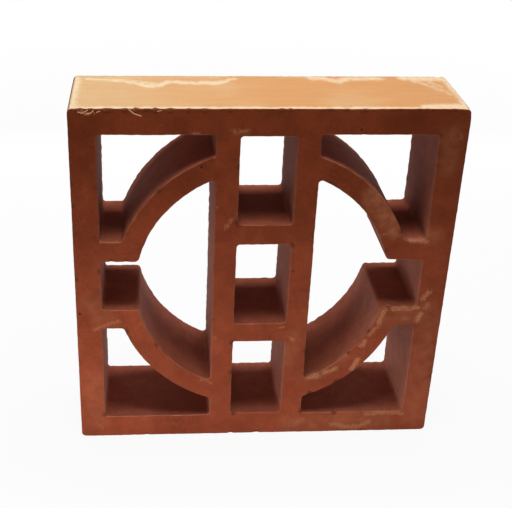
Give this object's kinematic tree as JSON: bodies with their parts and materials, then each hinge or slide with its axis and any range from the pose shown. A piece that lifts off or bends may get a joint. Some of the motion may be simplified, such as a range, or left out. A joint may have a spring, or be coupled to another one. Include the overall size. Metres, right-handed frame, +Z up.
{
  "type": "terracotta breeze block",
  "caption": "Square fired-clay ventilation block with a ring, an upright column and side rails round through openings, laid in a screen wall.",
  "frame": {"origin": "middle of the lower bed face, on the floor under the block", "axes": "+X along the width, to the right seen from the front; +Y through the thickness, from the front face to the back face; +Z up"},
  "size_m": [0.2, 0.05, 0.2],
  "materials": {
    "terracotta": "matt unglazed fired clay"
  },
  "bodies": {
    "root": {"breeze_block": "terracotta"}
  },
  "joints": []
}
